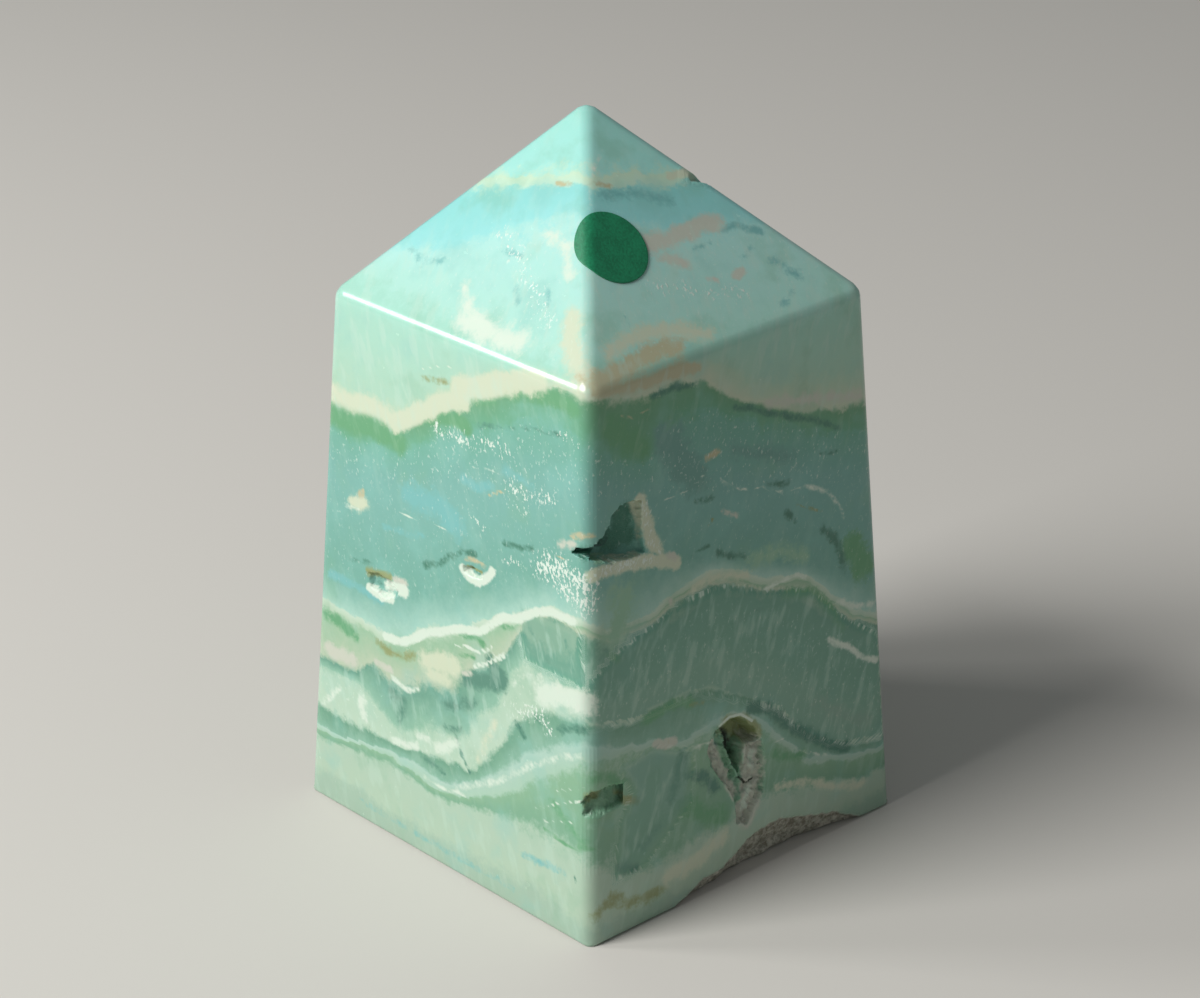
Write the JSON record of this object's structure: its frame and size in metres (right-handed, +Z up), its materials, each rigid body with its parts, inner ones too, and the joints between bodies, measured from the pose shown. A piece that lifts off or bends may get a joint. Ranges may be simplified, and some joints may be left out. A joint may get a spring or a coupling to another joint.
{
  "type": "blue calcite tower",
  "caption": "Polished tower of banded blue-green calcite with a low pointed top and natural hollows, carrying a small round paper dot.",
  "frame": {"origin": "the middle of the flat base, on the surface that the tower stands on", "axes": "+Z up to the point; the four sides face +X, -X, +Y and -Y, and the edge at +X -Y is the front edge, with the paper dot over its ridge"},
  "size_m": [0.0576, 0.056, 0.0981],
  "materials": {
    "calcite": "polished, slightly translucent, with rough crystal-lined hollows",
    "green_paper": "matte"
  },
  "bodies": {
    "root": {"calcite_tower": "calcite", "paper_dot": "green_paper"}
  },
  "joints": []
}
